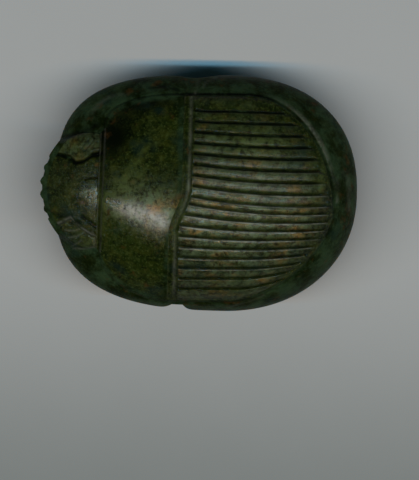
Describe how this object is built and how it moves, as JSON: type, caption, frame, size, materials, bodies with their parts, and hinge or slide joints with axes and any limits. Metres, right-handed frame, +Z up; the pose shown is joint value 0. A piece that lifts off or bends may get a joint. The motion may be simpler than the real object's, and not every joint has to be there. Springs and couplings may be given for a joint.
{
  "type": "scarab amulet",
  "caption": "Carved stone beetle with a toothed head, smooth chest, grooved wing cases and folded legs, on a flat oval underside.",
  "frame": {"origin": "middle of the flat underside, on the surface that the scarab lies on", "axes": "+X from the toothed head to the tail, +Z up through the beetle's back, +Y to the beetle's right side"},
  "size_m": [0.0539, 0.0402, 0.023],
  "materials": {
    "stone": "dark green hard stone, worn polish, with paler dust in the carved lines"
  },
  "bodies": {
    "root": {"scarab": "stone"}
  },
  "joints": []
}
